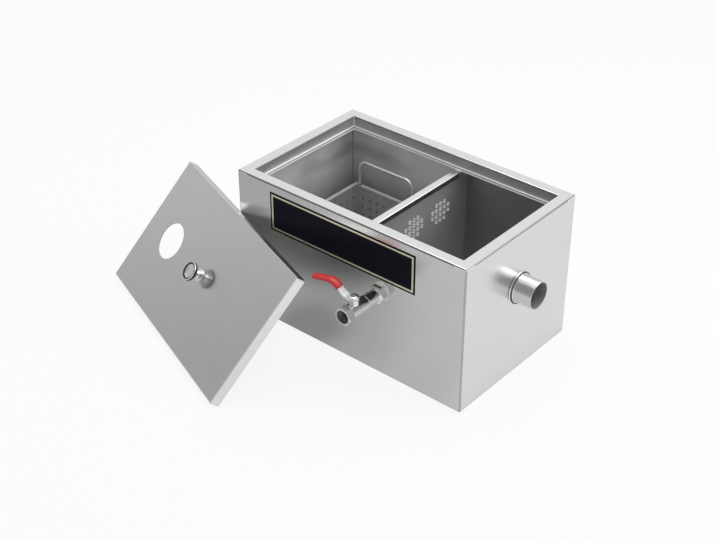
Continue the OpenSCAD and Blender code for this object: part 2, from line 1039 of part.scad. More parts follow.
tank_floor();
tank_front();
tank_rear();
tank_left();
tank_right();
rim_front();
rim_rear();
rim_left();
rim_right();
divider();
divider_cap();
basket_floor();
basket_front();
basket_rear();
basket_left();
basket_right();
basket_front_handle();
basket_rear_handle();
outlet_pipe();
outlet_elbow();
label_plate();
lid_top();
lid_front();
lid_rear();
lid_left();
lid_right();
lid_knob();
knob_screw();
drain_outer_washer();
drain_inner_washer();
drain_locknut();
valve_body();
valve_end_cap();
valve_seats();
stem_packing();
gland_nut();
valve_ball();
valve_stem();
lever();
lever_sleeve();
lever_nut();
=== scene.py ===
from math import atan2, cos, pi, radians, sin

import bpy
from mathutils import Matrix, Vector


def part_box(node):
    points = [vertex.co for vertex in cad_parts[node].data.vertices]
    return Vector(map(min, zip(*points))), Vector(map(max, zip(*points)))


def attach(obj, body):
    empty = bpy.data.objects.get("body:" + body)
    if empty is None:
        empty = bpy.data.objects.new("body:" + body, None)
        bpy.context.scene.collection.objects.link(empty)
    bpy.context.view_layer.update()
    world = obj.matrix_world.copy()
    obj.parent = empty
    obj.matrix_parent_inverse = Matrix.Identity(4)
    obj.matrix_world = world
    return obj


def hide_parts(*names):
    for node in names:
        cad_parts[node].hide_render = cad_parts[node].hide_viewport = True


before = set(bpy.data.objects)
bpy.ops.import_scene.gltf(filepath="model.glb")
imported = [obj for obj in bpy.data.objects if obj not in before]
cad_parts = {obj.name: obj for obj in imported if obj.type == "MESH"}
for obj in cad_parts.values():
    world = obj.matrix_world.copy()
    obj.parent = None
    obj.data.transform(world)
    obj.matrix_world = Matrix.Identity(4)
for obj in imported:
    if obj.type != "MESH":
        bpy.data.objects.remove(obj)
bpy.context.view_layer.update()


# Tank: one stainless sheet, cut, folded to an open box and welded at its corners. The outside is
# brushed with a fine belt. The inside keeps the duller finish of the rolled sheet, and its inlet
# half has been pickled matt and carries a faint tide mark. That half's colour also carries painted
# light: paler towards the rim and past the basket, darker towards the floor.

tank_half_l = 0.25
tank_half_w = 0.155
half_sheet = 0.0006
bend_r = 0.0028
tide_z = 0.221

side_dark = (0.58, 0.578, 0.574, 1)
side_light = (0.68, 0.678, 0.674, 1)
end_dark = (0.64, 0.64, 0.638, 1)
end_light = (0.74, 0.74, 0.738, 1)
rolled_dark = (0.42, 0.425, 0.435, 1)
rolled_light = (0.56, 0.565, 0.575, 1)
pickled_dark = (0.26, 0.266, 0.278, 1)
pickled_light = (0.92, 0.928, 0.94, 1)
tank_bend_grey = (0.42, 0.42, 0.42, 1)


class Value:
    """A shader output that takes part in sums: each operator adds a Math node."""

    def __init__(self, shader, socket):
        self.shader = shader
        self.socket = socket

    def math(self, operation, *others):
        return self.shader.node("ShaderNodeMath", {"operation": operation}, (self, *others))

    def __add__(self, other):
        return self.math("ADD", other)

    def __sub__(self, other):
        return self.math("SUBTRACT", other)

    def __rsub__(self, other):
        return self.shader.node("ShaderNodeMath", {"operation": "SUBTRACT"}, (other, self))

    def __mul__(self, other):
        return self.math("MULTIPLY", other)

    def __lt__(self, other):
        return self.math("LESS_THAN", other)

    def __gt__(self, other):
        return self.math("GREATER_THAN", other)

    def __abs__(self):
        return self.math("ABSOLUTE")

    __radd__ = __add__
    __rmul__ = __mul__


class Shader:
    """A node tree that is written one node at a time."""

    def __init__(self, tree):
        self.tree = tree
        tree.nodes.clear()

    def node(self, kind, settings=None, inputs=(), output=0):
        made = self.tree.nodes.new(kind)
        for name, value in (settings or {}).items():
            setattr(made, name, value)
        pairs = inputs.items() if isinstance(inputs, dict) else enumerate(inputs)
        for key, value in pairs:
            if isinstance(value, Value):
                self.tree.links.new(value.socket, made.inputs[key])
            else:
                made.inputs[key].default_value = value
        return Value(self, made.outputs[output]) if made.outputs else None

    def object_place(self):
        return self.node("ShaderNodeTexCoord", output="Object")

    def axes(self, vector):
        return [
            self.node("ShaderNodeSeparateXYZ", inputs=[vector], output=axis) for axis in "XYZ"
        ]

    def distance(self, across, up):
        return (across * across + up * up).math("SQRT")

    def blend(self, share, first, second):
        """A colour between two colours."""
        return self.node(
            "ShaderNodeMix", {"data_type": "RGBA"}, {0: share, 6: first, 7: second}, 2
        )

    def ramp(self, value, start, end, low, high):
        """A smooth change from low to high while the value goes from start to end."""
        return self.node(
            "ShaderNodeMapRange",
            {"interpolation_type": "SMOOTHSTEP"},
            [value, start, end, low, high],
        )

    def noise(self, vector, stretch, detail=2.0):
        """Noise whose blotches measure 1 / stretch metres along each axis."""
        stretched = self.node(
            "ShaderNodeVectorMath", {"operation": "MULTIPLY"}, [vector, stretch]
        )
        return self.node(
            "ShaderNodeTexNoise", inputs={"Vector": stretched, "Scale": 1.0, "Detail": detail}
        )

    def bump(self, height, strength, distance):
        return self.node(
            "ShaderNodeBump",
            inputs={"Height": height, "Strength": strength, "Distance": distance},
        )

    def surface(self, **sockets):
        """The finished surface: sockets are named as on the shader, with _ for a space."""
        inputs = {name.replace("_", " "): value for name, value in sockets.items()}
        shaded = self.node("ShaderNodeBsdfPrincipled", inputs=inputs)
        self.node("ShaderNodeOutputMaterial", inputs=[shaded])


def new_material(name):
    material = bpy.data.materials.new(name)
    material.use_nodes = True
    return material, Shader(material.node_tree)


def finish_node(material, *names):
    """Gives CAD nodes this material alone."""
    for name in names:
        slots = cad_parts[name].data.materials
        slots.clear()
        slots.append(material)


def grain(shader, place, along, length=0.12, width=0.0009):
    """Fine scratches that run along one axis."""
    stretch = [1 / length if axis == along else 1 / width for axis in "xyz"]
    return shader.noise(place, stretch, 3.0)


def bands(shader, place, along):
    """Broad soft bands beside each other, as a belt leaves them."""
    stretch = [1.4 if axis == along else 34 for axis in "xyz"]
    return shader.noise(place, stretch, 1.0)


def tank_sheet(name, along, dull, bright):
    material, sheet = new_material(name)
    place = sheet.object_place()
    x, y, z = sheet.axes(place)
    scratch = grain(sheet, place, along)
    belt = bands(sheet, place, along)
    cloud = sheet.noise(place, (9, 9, 9), 3.0)
    tone = 0.35 * belt + 0.3 * scratch + 0.35 * cloud
    brushed = sheet.blend(tone, dull, bright)
    rolled = sheet.blend(tone, rolled_dark, rolled_light)

    between_ends = abs(x) < tank_half_l - half_sheet
    between_sides = abs(y) < tank_half_w - half_sheet
    inside = between_ends * between_sides * (z > half_sheet)
    matt = inside * sheet.ramp(x, 0.0, 0.03, 1.0, 0.0)
    from_tide = abs(z - tide_z + 0.03 * cloud)
    tide = sheet.ramp(from_tide, 0.002, 0.02, 1.0, 0.0) * sheet.ramp(x - y, -0.4, -0.2, 1.0, 0.2)
    # Painted light and shade: the matt inside is paler towards the rim and past the basket, and
    # darker towards the floor.
    upper_wall = sheet.ramp(z, 0.04, 0.2, -0.2, 0.75)
    past_basket = sheet.ramp(x, -0.07, -0.05, 0.0, 0.5)
    pickled = sheet.blend(
        upper_wall + past_basket + 1.3 * cloud - 0.45 - 0.4 * tide, pickled_dark, pickled_light
    )

    # Painted shade: the bends at the corners and along the floor are painted grey as dark lines.
    at_end = abs(x) > tank_half_l - bend_r
    at_side = abs(y) > tank_half_w - bend_r
    at_floor = z < bend_r
    bend = at_end * at_side + at_floor * at_end + at_floor * at_side
    skin = sheet.blend(matt, sheet.blend(inside, brushed, rolled), pickled)
    sheet.surface(
        Base_Color=sheet.blend(bend, skin, tank_bend_grey),
        Metallic=1 - 0.8 * matt,
        Roughness=0.25 + 0.12 * inside + 0.07 * (scratch - 0.5) + 0.08 * (cloud - 0.5),
        Normal=sheet.bump(scratch, 0.05, 0.0002),
    )
    return material


long_sheet = tank_sheet("tank_sheet_lengthwise", "x", side_dark, side_light)
end_sheet = tank_sheet("tank_sheet_crosswise", "y", end_dark, end_light)
finish_node(long_sheet, "tank_floor", "tank_front", "tank_rear")
finish_node(end_sheet, "tank_left", "tank_right")


# Rim: four folded stainless strips with mitred corners, welded on the tank and polished with a
# fine belt along each strip. The drop and the ledge below the flange carry the lid. They are left
# unpolished and darker, in painted shade under the flange. The ledge has painted highlights along
# both its borders, the drop is painted bright at the corners, and the bends carry painted dark
# lines.

rim_top = 0.285
rim_bend = 0.0018
drop_bend_low, drop_bend_high = rim_top - 0.0032, rim_top - 0.0004
rim_ledge = 0.008
ledge_half_l = 0.22
ledge_half_w = 0.125
ledge_top = 0.2662
mitre_reach = 0.0064
ledge_dull_half = 0.0022

belted_dark = (0.68, 0.68, 0.685, 1)
belted_light = (0.82, 0.82, 0.825, 1)
folded_dark = (0.36, 0.363, 0.37, 1)
folded_light = (0.54, 0.543, 0.55, 1)
rim_bend_grey = (0.26, 0.26, 0.26, 1)
worn_bright = (0.9, 0.9, 0.9, 1)


def rim_strip(name, along):
    material, rim = new_material(name)
    place = rim.object_place()
    x, y, z = rim.axes(place)
    scratch = grain(rim, place, along, 0.14, 0.0008)
    belt = bands(rim, place, along)

    # Painted shade: the bends are painted dark grey lines.
    at_end = abs(x) > tank_half_l - rim_bend
    at_side = abs(y) > tank_half_w - rim_bend
    outer_bend = at_end.math("MAXIMUM", at_side)
    inner_bend = (z > drop_bend_low) * (z < drop_bend_high)
    drop = (z > ledge_top) * (z < rim_top - rim_bend)
    past_ledge_l = abs(x) - ledge_half_l
    past_ledge_w = abs(y) - ledge_half_w
    from_inside = past_ledge_l.math("MAXIMUM", past_ledge_w)
    ledge = (z < ledge_top) * (from_inside > -0.001)
    # Painted highlight: bright lines along both borders of the ledge and on the drop at the
    # corners.
    mitre = drop * (past_ledge_l > mitre_reach) * (past_ledge_w > mitre_reach)
    worn = ledge * (abs(from_inside - rim_ledge / 2) > ledge_dull_half) + mitre

    belted = rim.blend(0.5 * belt + 0.5 * scratch, belted_dark, belted_light)
    # Painted shade: the drop and ledge are darker under the flange, over their unpolished fold.
    folded = rim.blend(belt, folded_dark, folded_light)
    skin = rim.blend(drop + ledge, belted, folded)
    bent = rim.blend(outer_bend + inner_bend, skin, rim_bend_grey)
    rim.surface(
        Base_Color=rim.blend(worn, bent, worn_bright),
        Metallic=1 - 0.5 * drop * (1 - worn) - 0.7 * worn,
        Roughness=0.24 + 0.1 * drop + 0.06 * ledge + 0.12 * (scratch - 0.5),
        Normal=rim.bump(scratch, 0.1, 0.0002),
    )
    return material


long_rim = rim_strip("rim_strip_lengthwise", "x")
short_rim = rim_strip("rim_strip_crosswise", "y")
finish_node(long_rim, "rim_front", "rim_rear")
finish_node(short_rim, "rim_left", "rim_right")


# Divider: a punched stainless plate welded between front and rear, stiffened by a folded channel
# on its top edge. A near-white ring lines every hole: painted light that stands for the light
# seen through the holes.

divider_face_x = 0.0234
divider_hole_r = 0.00325
divider_pitch = 0.0113
divider_group = 0.076
divider_hole_z = 0.199
hole_edge_r = 0.0011
hole_edge_place_r = divider_hole_r + 0.0001
hole_edge_draw = 0.0004

divider_material, divider = new_material("divider_plate")
place = divider.object_place()
scratch = grain(divider, place, "y")
cloud = divider.noise(place, (8, 8, 8), 3.0)
divider.surface(
    Base_Color=divider.blend(
        0.5 * scratch + 0.5 * cloud, (0.56, 0.56, 0.56, 1), (0.72, 0.72, 0.72, 1)
    ),
    Metallic=0.4,
    Roughness=0.34 + 0.12 * (scratch - 0.5) + 0.08 * (cloud - 0.5),
    Normal=divider.bump(scratch, 0.1, 0.0002),
)
finish_node(divider_material, "divider")
finish_node(short_rim, "divider_cap")

# Painted light: near-white rings stand for the light seen through the holes.
burr_material, burr = new_material("hole_edge_painted_light")
cloud = burr.noise(burr.object_place(), (300, 300, 300), 3.0)
burr.surface(
    Base_Color=burr.blend(cloud, (0.93, 0.93, 0.94, 1), (0.98, 0.98, 0.98, 1)),
    Metallic=0.0,
    Roughness=0.3 + 0.14 * (cloud - 0.5),
    Normal=burr.bump(cloud, 0.1, 0.0001),
)


def edit(piece):
    bpy.context.view_layer.objects.active = piece
    bpy.ops.object.mode_set(mode="EDIT")


def leave_edit():
    bpy.ops.object.mode_set(mode="OBJECT")


def pick(piece, chosen):
    """Selects, in edit mode, the points for which chosen is true."""
    bpy.ops.mesh.select_mode(type="VERT")
    bpy.ops.mesh.select_all(action="DESELECT")
    leave_edit()
    for point in piece.data.vertices:
        point.select = chosen(point.co)
    edit(piece)


def start_circle(sides, radius, place=(0, 0, 0), turn=(0, 0, 0)):
    """A new circle of points, alone in the selection, with its place in its mesh."""
    bpy.ops.object.select_all(action="DESELECT")
    bpy.ops.mesh.primitive_circle_add(
        vertices=sides, radius=radius, location=place, rotation=turn
    )
    bpy.ops.object.transform_apply(location=True, rotation=True, scale=True)
    return bpy.context.active_object


def spun_ring(sides, thickness, radius, steps):
    """A round bar bent to a closed ring about the Z axis, left in edit mode."""
    ring = start_circle(sides, thickness, (radius, 0, 0), (pi / 2, 0, 0))
    edit(ring)
    bpy.ops.mesh.select_all(action="SELECT")
    bpy.ops.mesh.spin(steps=steps, angle=2 * pi, center=(0, 0, 0), axis=(0, 0, 1))
    bpy.ops.mesh.select_all(action="SELECT")
    bpy.ops.mesh.remove_doubles(threshold=0.000001)
    return ring


def copy_of(piece):
    twin = piece.copy()
    twin.data = piece.data.copy()
    bpy.context.scene.collection.objects.link(twin)
    return twin


def choose(*pieces):
    """Selects these pieces alone, with the first as the active one."""
    bpy.ops.object.select_all(action="DESELECT")
    for piece in pieces:
        piece.select_set(True)
    bpy.context.view_layer.objects.active = pieces[0]


def put_on(piece, name, material, body="tank"):
    """Makes a finished mesh a piece of the object."""
    piece.name = piece.data.name = name
    bpy.ops.object.transform_apply(location=True, rotation=True, scale=True)
    edit(piece)
    bpy.ops.mesh.select_all(action="SELECT")
    bpy.ops.mesh.remove_doubles(threshold=0.000001)
    bpy.ops.mesh.normals_make_consistent(inside=False)
    leave_edit()
    bpy.ops.object.shade_smooth()
    piece.data.materials.append(material)
    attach(piece, body)


hole_edge = spun_ring(6, hole_edge_r, hole_edge_place_r, 14)
pick(hole_edge, lambda co: Vector((co.x, co.y)).length < divider_hole_r and co.z < 0)
bpy.ops.transform.translate(value=(0, 0, -hole_edge_draw))
leave_edit()
spots = [
    (divider_face_x, group + column * divider_pitch, divider_hole_z + row * divider_pitch)
    for group in (-divider_group, 0, divider_group)
    for column in (-2, -1, 0, 1, 2)
    for row in (-1.5, -0.5, 0.5, 1.5)
    if abs(column) < 2 or abs(row) < 1
]
hole_edges = [hole_edge] + [copy_of(hole_edge) for _ in spots[1:]]
for piece, spot in zip(hole_edges, spots):
    piece.rotation_euler = (0, pi / 2, 0)
    piece.location = spot
choose(*hole_edges)
bpy.ops.object.join()
put_on(hole_edge, "divider_hole_edges", burr_material)


# Strainer basket: perforated stainless panels spot welded to a box with a turned-out rim. The
# thin sheet keeps its mill finish with faint clouds and specks. Its lip is a lighter grey: painted
# highlight along the rim. Its side to the divider is matt and near-white: painted light, seen
# through the divider's holes.

basket_lip_z = 0.1588
basket_clean_x = -0.0626

basket_material, basket = new_material("basket_sheet")
place = basket.object_place()
x, y, z = basket.axes(place)
cloud = basket.noise(place, (14, 14, 14), 4.0)
speck = basket.noise(place, (420, 420, 420), 2.0)
rolled = basket.blend(
    0.6 * cloud + 0.4 * speck, (0.33, 0.333, 0.34, 1), (0.63, 0.634, 0.642, 1)
)
# Painted highlight: the lip above the rim line is a lighter grey.
lipped = basket.blend(z > basket_lip_z, rolled, (0.62, 0.622, 0.626, 1))
# Painted light: the side towards the divider is near-white.
clean = x > basket_clean_x
basket.surface(
    Base_Color=basket.blend(clean, lipped, (0.92, 0.922, 0.926, 1)),
    Metallic=0.3 - 0.2 * clean,
    Roughness=0.38 + 0.12 * (cloud - 0.5) + 0.08 * (speck - 0.5),
    Normal=basket.bump(speck, 0.1, 0.0002),
)
finish_node(
    basket_material,
    "basket_floor", "basket_front", "basket_rear", "basket_left", "basket_right",
)


# Basket handles: bright drawn wire bent to a bow, its feet welded on the basket's rim with a small
# rippled bead round each. The beads are left dull and dark.

wire_d = 0.005
foot_bead_place_r = wire_d / 2 + 0.0002
foot_bead_r = 0.0011
foot_bead_swell = 0.0003

wire_material, wire = new_material("bright_wire")
draw = wire.noise(wire.object_place(), (60, 900, 900), 2.0)
wire.surface(
    Base_Color=wire.blend(draw, (0.8, 0.8, 0.8, 1), (0.94, 0.94, 0.94, 1)),
    Metallic=0.75,
    Roughness=0.2 + 0.1 * (draw - 0.5),
    Normal=wire.bump(draw, 0.08, 0.0001),
)
finish_node(wire_material, "basket_front_handle", "basket_rear_handle")

weld_material, weld = new_material("weld_bead")
place = weld.object_place()
tint = weld.noise(place, (160, 160, 160), 3.0)
pit = weld.noise(place, (1500, 1500, 1500), 2.0)
weld.surface(
    Base_Color=weld.blend(tint, (0.05, 0.049, 0.046, 1), (0.2, 0.196, 0.188, 1)),
    Metallic=0.3,
    Roughness=0.62 + 0.16 * (tint - 0.5) + 0.1 * (pit - 0.5),
    Specular_IOR_Level=0.3,
    Normal=weld.bump(pit, 0.12, 0.0001),
)


def smooth_skin(piece, levels):
    skin = piece.modifiers.new("skin", "SUBSURF")
    skin.levels = skin.render_levels = levels
    bpy.ops.object.modifier_apply(modifier="skin")


def weld_ring(radius, bead, ripples, swell):
    """A rippled bead round the Z axis at the origin."""
    ring = spun_ring(8, bead, radius, 2 * ripples)
    bpy.ops.mesh.normals_make_consistent(inside=False)
    pick(ring, lambda co: round(atan2(co.y, co.x) / pi * ripples) % 2 == 1)
    bpy.ops.transform.shrink_fatten(value=swell)
    leave_edit()
    smooth_skin(ring, 1)
    return ring


foot_bead = weld_ring(foot_bead_place_r, foot_bead_r, 6, foot_bead_swell)
beads = [foot_bead] + [copy_of(foot_bead) for _ in range(3)]
for handle, side in (("basket_front_handle", "front"), ("basket_rear_handle", "rear")):
    low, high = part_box(handle)
    for foot_x, end in ((low.x + wire_d / 2, "left"), (high.x - wire_d / 2, "right")):
        bead = beads.pop()
        choose(bead)
        bead.location = (foot_x, (low.y + high.y) / 2, low.z + foot_bead_swell)
        put_on(bead, "handle_weld_" + side + "_" + end, weld_material)


# Outlet: a plain stainless tube welded through the tank's right end, with a dip elbow inside
# that keeps the grease back. The tube is polished round, its bore is left dull and painted darker
# as shade inside the tube, and a dark rippled bead runs round it at the tank's wall.

outlet_z = 0.174
outlet_bore_r = 0.0245
outlet_bore_x = tank_half_l - 0.004
outlet_bead_x = tank_half_l + 0.0015
outlet_bead_place_r = 0.0269
outlet_bead_r = 0.0026
outlet_bead_swell = 0.0004

pipe_material, pipe = new_material("polished_tube")
place = pipe.object_place()
x, y, z = pipe.axes(place)
turning = pipe.noise(place, (1300, 40, 40), 2.0)
cloud = pipe.noise(place, (18, 18, 18), 3.0)
# Painted shade: the bore is darker grey inside the tube, over its dull finish.
bore = (pipe.distance(y, z - outlet_z) < outlet_bore_r) * (x > outlet_bore_x)
polished = pipe.blend(
    0.4 * turning + 0.6 * cloud, (0.62, 0.62, 0.62, 1), (0.88, 0.88, 0.88, 1)
)
rolled = pipe.blend(cloud, (0.3, 0.3, 0.3, 1), (0.44, 0.44, 0.44, 1))
pipe.surface(
    Base_Color=pipe.blend(bore, polished, rolled),
    Metallic=1 - 0.6 * bore,
    Roughness=0.1 + 0.4 * bore + 0.1 * (turning - 0.5) + 0.05 * (cloud - 0.5),
    Normal=pipe.bump(turning, 0.06, 0.0001),
)
finish_node(pipe_material, "outlet_pipe", "outlet_elbow")

outlet_bead = weld_ring(outlet_bead_place_r, outlet_bead_r, 60, outlet_bead_swell)
outlet_bead.rotation_euler = (0, pi / 2, 0)
outlet_bead.location = (outlet_bead_x, 0, outlet_z)
put_on(outlet_bead, "outlet_weld", weld_material)


# Label plate: a thin dark anodised plate glued on the front, with a border line cut through to the
# bare metal and an empty field.

border_out = 0.0033
border_in = 0.0068

label_low, label_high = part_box("label_plate")
label_middle = (label_low + label_high) / 2
label_half = (label_high - label_low) / 2

label_material, label = new_material("dark_label_plate")
place = label.object_place()
x, y, z = label.axes(place)
from_end = label_half.x - abs(x - label_middle.x)
from_side = label_half.z - abs(z - label_middle.z)
margin = from_end.math("MINIMUM", from_side)
line = (margin > border_out) * (margin < border_in)
fleck = label.noise(place, (900, 900, 900), 2.0)
dust = label.noise(place, (25, 25, 25), 4.0)
field = label.blend(dust, (0.003, 0.0024, 0.007, 1), (0.007, 0.006, 0.015, 1))
label.surface(
    Base_Color=label.blend(line, field, (0.74, 0.71, 0.53, 1)),
    Metallic=line,
    Roughness=0.46 + 0.16 * (dust - 0.5) + 0.1 * (fleck - 0.5),
    Specular_IOR_Level=0.06,
    Normal=label.bump(0.3 * fleck - line, 0.12, 0.0001),
)
finish_node(label_material, "label_plate")


# Lid: a shallow folded stainless tray with an inlet hole, brushed along its length, taken off and
# leaning on the tank's corner. Its top is painted lighter towards its upper edge: painted light.
# Three of its skirts are near-white: painted highlight along those edges. The underside is dark,
# with faint clouds: painted shade under the leaning lid.

lid_tilt = radians(49.8)
lid_yaw = radians(20.9)
lid_middle = Vector((-0.255025, -0.258512, 0.112321))
lid_half_l = 0.226
lid_half_w = 0.131

lid_dark = (0.54, 0.537, 0.53, 1)
lid_light = (0.83, 0.827, 0.82, 1)
underside_dark = (0.16, 0.153, 0.145, 1)
underside_light = (0.26, 0.25, 0.238, 1)


def lid_place(shader):
    """The place on the leaning lid: X along it, Y up its slope, Z out of its top."""
    return shader.node(
        "ShaderNodeMapping",
        {"vector_type": "TEXTURE"},
        {
            "Vector": shader.object_place(),
            "Location": lid_middle,
            "Rotation": (lid_tilt, 0, -lid_yaw),
        },
    )


lid_material, lid = new_material("lid_sheet")
place = lid_place(lid)
x, y, z = lid.axes(place)
scratch = grain(lid, place, "x", 0.14, 0.0009)
belt = bands(lid, place, "x")
cloud = lid.noise(place, (5, 5, 5), 3.0)
between_ends = abs(x) < lid_half_l - half_sheet
between_sides = abs(y) < lid_half_w - half_sheet
underside = (z < -half_sheet) * between_ends * between_sides
# Painted light: the top is lighter towards its upper edge.
lighter_end = lid.ramp(y - 0.58 * x, -0.24, 0.24, 0.0, 0.6)
brushed = lid.blend(
    lighter_end + 0.14 * belt + 0.12 * scratch + 0.14 * cloud, lid_dark, lid_light
)
# Painted shade: the underside is dark, as shade under the leaning lid.
rolled = lid.blend(cloud, underside_dark, underside_light)
lid.surface(
    Base_Color=lid.blend(underside, brushed, rolled),
    Metallic=1.0,
    Roughness=0.21 + 0.16 * underside + 0.06 * (scratch - 0.5) + 0.06 * (cloud - 0.5),
    Normal=lid.bump(scratch, 0.05, 0.0002),
)
finish_node(lid_material, "lid_top", "lid_rear")

# Painted highlight: three skirts are near-white along the lid's edges.
lid_edge_material, lid_edge = new_material("lid_edge_painted_highlight")
haze = lid_edge.noise(lid_edge.object_place(), (30, 30, 120), 3.0)
lid_edge.surface(
    Base_Color=lid_edge.blend(haze, (0.84, 0.84, 0.84, 1), (0.94, 0.94, 0.94, 1)),
    Metallic=1.0,
    Roughness=0.34 + 0.1 * (haze - 0.5),
    Normal=lid_edge.bump(haze, 0.05, 0.0002),
)
finish_node(lid_edge_material, "lid_front", "lid_left", "lid_right")


# Lid knob: turned from bar and chrome plated, screwed to the lid from below. The cap has a dished
# top inside a raised round rim, and a waist under it for the fingers. A dark band runs round the
# cap's edge and a dark ring round its dish: painted dark reflections.

knob_profile = [
    # radius, height above the lid
    (0.0118, 0.0), (0.012, 0.0003), (0.012, 0.0012), (0.0117, 0.0022), (0.0108, 0.003),
    (0.0085, 0.0042), (0.007, 0.0058), (0.0065, 0.008), (0.0065, 0.0135), (0.0072, 0.0158),
    (0.0095, 0.0169), (0.0145, 0.0172), (0.0168, 0.0178), (0.01775, 0.0196), (0.01775, 0.0212),
    (0.0174, 0.0238), (0.0168, 0.0248), (0.0159, 0.0248), (0.0135, 0.0233), (0.011, 0.0217),
    (0.0094, 0.0208), (0.0082, 0.0205), (0.0052, 0.0204), (0.002, 0.0204),
]
knob_rim_r = 0.0158
knob_ring_r = 0.0128
knob_ring_z = 0.022
knob_band_low, knob_band_high = 0.0177, 0.0234

mirror_material, mirror = new_material("knob_plating")
place = lid_place(mirror)
x, y, z = mirror.axes(place)
cloud = mirror.noise(place, (110, 110, 110), 4.0)
speck = mirror.noise(place, (1500, 1500, 1500), 2.0)
from_axis = mirror.distance(x, y)
# Painted reflection: a dark band round the cap's edge and a dark ring round the dish.
band = (from_axis > knob_rim_r) * (z > knob_band_low) * (z < knob_band_high)
ring = (from_axis > knob_ring_r) * (from_axis < knob_rim_r) * (z > knob_ring_z)
dark = band + ring
plated = mirror.blend(cloud, (0.7, 0.7, 0.705, 1), (0.86, 0.86, 0.87, 1))
mirror.surface(
    Base_Color=mirror.blend(dark, plated, (0.018, 0.018, 0.019, 1)),
    Metallic=1 - dark,
    Roughness=0.12 + 0.08 * (cloud - 0.5) + 0.2 * dark,
    Normal=mirror.bump(speck, 0.06, 0.0001),
)


def turned(profile, segments):
    """A solid of revolution: a ring, extruded and resized along the Z axis."""
    radius, height = profile[0]
    piece = start_circle(segments, radius, (0, 0, height))
    edit(piece)
    bpy.ops.mesh.select_all(action="SELECT")
    for next_radius, next_height in profile[1:]:
        bpy.ops.mesh.extrude_edges_move(
            TRANSFORM_OT_translate={"value": (0, 0, next_height - height)}
        )
        share = next_radius / radius
        bpy.ops.transform.resize(
            value=(share, share, 1), center_override=(0, 0, next_height)
        )
        radius, height = next_radius, next_height
    bpy.ops.mesh.select_all(action="SELECT")
    bpy.ops.mesh.fill_holes(sides=0)
    leave_edit()
    return piece


knob = turned(knob_profile, 40)
smooth_skin(knob, 2)
knob.matrix_world = (
    Matrix.Translation(lid_middle)
    @ Matrix.Rotation(-lid_yaw, 4, "Z")
    @ Matrix.Rotation(lid_tilt, 4, "X")
)
put_on(knob, "turned_lid_knob", mirror_material)
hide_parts("lid_knob")
finish_node(wire_material, "knob_screw")


# Drain valve: a chrome plated brass ball valve screwed through the tank's front, sealed by pale
# rubber washers on both sides of the sheet and clamped by a locknut inside. Its machined open end
# has a pipe thread, and a steel lever turns the ball.

stem_x, stem_y, valve_z = 0.079, -0.225, 0.171
valve_end_y = -0.2545
machined_y = valve_end_y + 0.0005
bore_end_y = valve_end_y + 0.02
thread_start_y = valve_end_y + 0.0008
thread_r = 0.01205
thread_pitch = 0.001814
thread_depth = 0.0006

chrome_material, chrome = new_material("bright_plating")
place = chrome.object_place()
x, y, z = chrome.axes(place)
cloud = chrome.noise(place, (90, 90, 90), 4.0)
speck = chrome.noise(place, (1500, 1500, 1500), 2.0)
machined = y < machined_y
from_axis = chrome.distance(x - stem_x, z - valve_z)
# Painted shade: the threaded bore is dark grey inside the open end.
bore = (from_axis < thread_r + thread_depth) * (y < bore_end_y)
plated = chrome.blend(cloud, (0.76, 0.76, 0.765, 1), (0.95, 0.95, 0.96, 1))
outside = chrome.blend(machined, plated, (0.66, 0.66, 0.67, 1))
chrome.surface(
    Base_Color=chrome.blend(bore, outside, (0.3, 0.3, 0.3, 1)),
    Metallic=0.98,
    Roughness=0.1 + 0.12 * (cloud - 0.5) + 0.15 * machined,
    Normal=chrome.bump(speck, 0.1, 0.0001),
)
finish_node(
    chrome_material,
    "drain_locknut", "valve_body", "valve_end_cap", "gland_nut", "valve_ball", "valve_stem",
    "lever_nut",
)

plating_material, plating = new_material("lever_plating")
place = plating.object_place()
cloud = plating.noise(place, (120, 120, 120), 4.0)
speck = plating.noise(place, (1300, 1300, 1300), 2.0)
plating.surface(
    Base_Color=plating.blend(cloud, (0.78, 0.78, 0.79, 1), (0.94, 0.94, 0.95, 1)),
    Metallic=0.7,
    Roughness=0.34 + 0.14 * (cloud - 0.5),
    Normal=plating.bump(speck, 0.1, 0.0001),
)
finish_node(plating_material, "lever")

rubber_material, rubber = new_material("pale_rubber")
speck = rubber.noise(rubber.object_place(), (800, 800, 800), 3.0)
rubber.surface(
    Base_Color=rubber.blend(speck, (0.8, 0.79, 0.76, 1), (0.9, 0.89, 0.86, 1)),
    Roughness=0.6 + 0.2 * (speck - 0.5),
    Normal=rubber.bump(speck, 0.2, 0.0001),
)
finish_node(
    rubber_material, "drain_outer_washer", "drain_inner_washer", "valve_seats", "stem_packing"
)

thread = start_circle(4, thread_depth, (thread_r, 0, 0), (pi / 2, 0, 0))
turns = thread.modifiers.new("turns", "SCREW")
turns.axis = "Z"
turns.angle = 2 * pi
turns.screw_offset = thread_pitch
turns.iterations = 6
turns.steps = turns.render_steps = 40
turns.use_merge_vertices = False
bpy.ops.object.modifier_apply(modifier="turns")
edit(thread)
bpy.ops.mesh.select_all(action="SELECT")
bpy.ops.mesh.fill_holes(sides=0)
leave_edit()
thread.rotation_euler = (-pi / 2, 0, 0)
thread.location = (stem_x, thread_start_y, valve_z)
put_on(thread, "drain_thread_turns", chrome_material)


# Lever sleeve: red soft plastic that the lever was dipped in. It is oval, follows the lever's bend
# and has a rolled mouth and a round tip.

